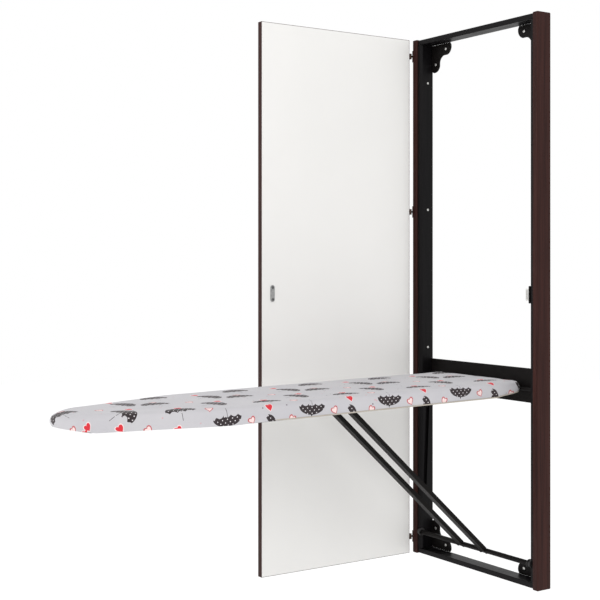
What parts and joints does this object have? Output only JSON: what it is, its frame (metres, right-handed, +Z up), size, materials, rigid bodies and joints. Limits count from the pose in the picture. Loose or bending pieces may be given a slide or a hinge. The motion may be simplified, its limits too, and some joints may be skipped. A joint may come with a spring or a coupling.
{
  "type": "wall-hung fold-down ironing board",
  "caption": "Tall slim wooden wall frame with a hinged door and a padded ironing board that folds down on two tube legs.",
  "frame": {"origin": "centre of the wall rail's back face, on the wall plane", "axes": "+X to the right seen from the room, +Y into the wall, +Z up"},
  "size_m": [0.476, 1.1362, 1.35],
  "materials": {
    "wenge": "satin",
    "black_board": "satin",
    "black_steel": "satin",
    "zinc": "satin",
    "bronzed_hinge": "satin",
    "white_panel": "satin",
    "strike_steel": "satin",
    "white_nylon": "matte",
    "black_nylon": "matte",
    "printed_cotton": "matte"
  },
  "bodies": {
    "frame": {"left_stile": "wenge", "right_stile": "wenge", "left_guide_board": "black_board", "right_guide_board": "black_board", "top_rail": "black_board", "bottom_rail": "black_board", "wall_rail": "black_steel", "top_left_gusset": "black_steel", "top_right_gusset": "black_steel", "bottom_left_gusset": "black_steel", "bottom_right_gusset": "black_steel", "top_left_gusset_screw_1": "zinc", "top_left_gusset_screw_2": "zinc", "top_right_gusset_screw_1": "zinc", "top_right_gusset_screw_2": "zinc", "bottom_left_gusset_screw_1": "zinc", "bottom_left_gusset_screw_2": "zinc", "bottom_right_gusset_screw_1": "zinc", "bottom_right_gusset_screw_2": "zinc", "left_guide_screw_1": "zinc", "left_guide_screw_2": "zinc", "left_guide_screw_3": "zinc", "right_guide_screw_1": "zinc", "right_guide_screw_2": "zinc", "right_guide_screw_3": "zinc", "left_crossbar_bush": "black_nylon", "right_crossbar_bush": "black_nylon", "catch_base": "black_steel", "catch_magnet": "white_nylon", "hinge_1_frame_leaf": "bronzed_hinge", "hinge_2_frame_leaf": "bronzed_hinge", "hinge_3_frame_leaf": "bronzed_hinge", "hinge_4_frame_leaf": "bronzed_hinge", "hinge_1_pin": "bronzed_hinge", "hinge_2_pin": "bronzed_hinge", "hinge_3_pin": "bronzed_hinge", "hinge_4_pin": "bronzed_hinge"},
    "door": {"door_panel": "white_panel", "hinge_1_door_leaf": "bronzed_hinge", "hinge_2_door_leaf": "bronzed_hinge", "hinge_3_door_leaf": "bronzed_hinge", "hinge_4_door_leaf": "bronzed_hinge", "strike_plate": "strike_steel", "strike_screw_1": "zinc", "strike_screw_2": "zinc"},
    "shoes": {"left_guide_shoe": "white_nylon", "right_guide_shoe": "white_nylon"},
    "board": {"board_deck": "black_steel", "board_rim": "black_steel", "cover_pad": "printed_cotton", "left_axle_bracket": "black_steel", "right_axle_bracket": "black_steel", "left_guide_pin": "zinc", "right_guide_pin": "zinc", "left_leg_bracket": "black_steel", "right_leg_bracket": "black_steel", "leg_pivot_rod": "zinc"},
    "legs": {"left_leg": "black_steel", "right_leg": "black_steel", "leg_crossbar": "black_steel"}
  },
  "joints": [
    {"name": "door_hinge", "type": "hinge", "parent": "frame", "child": "door", "pos_m": [-0.2325, -0.0495, 0.204], "axis": [0, 0, 1], "range_deg": [-90, 8]},
    {"name": "shoe_slide", "type": "slide", "parent": "frame", "child": "shoes", "axis": [0, -0.045, -0.999], "range_m": [0, 0.27778]},
    {"name": "board_fold", "type": "hinge", "parent": "shoes", "child": "board", "pos_m": [0, -0.014, -0.0079], "axis": [-1, 0, 0], "range_deg": [0, 90.85]},
    {"name": "leg_fold", "type": "hinge", "parent": "board", "child": "legs", "pos_m": [0, -0.46584, -0.0221], "axis": [-1, 0, 0], "range_deg": [-42.84, 0]}
  ],
  "couplings": [
    {"joint": "shoe_slide", "follows": "board_fold", "m_per_rad": 0.17512},
    {"joint": "leg_fold", "follows": "board_fold", "ratio": -0.4714}
  ]
}
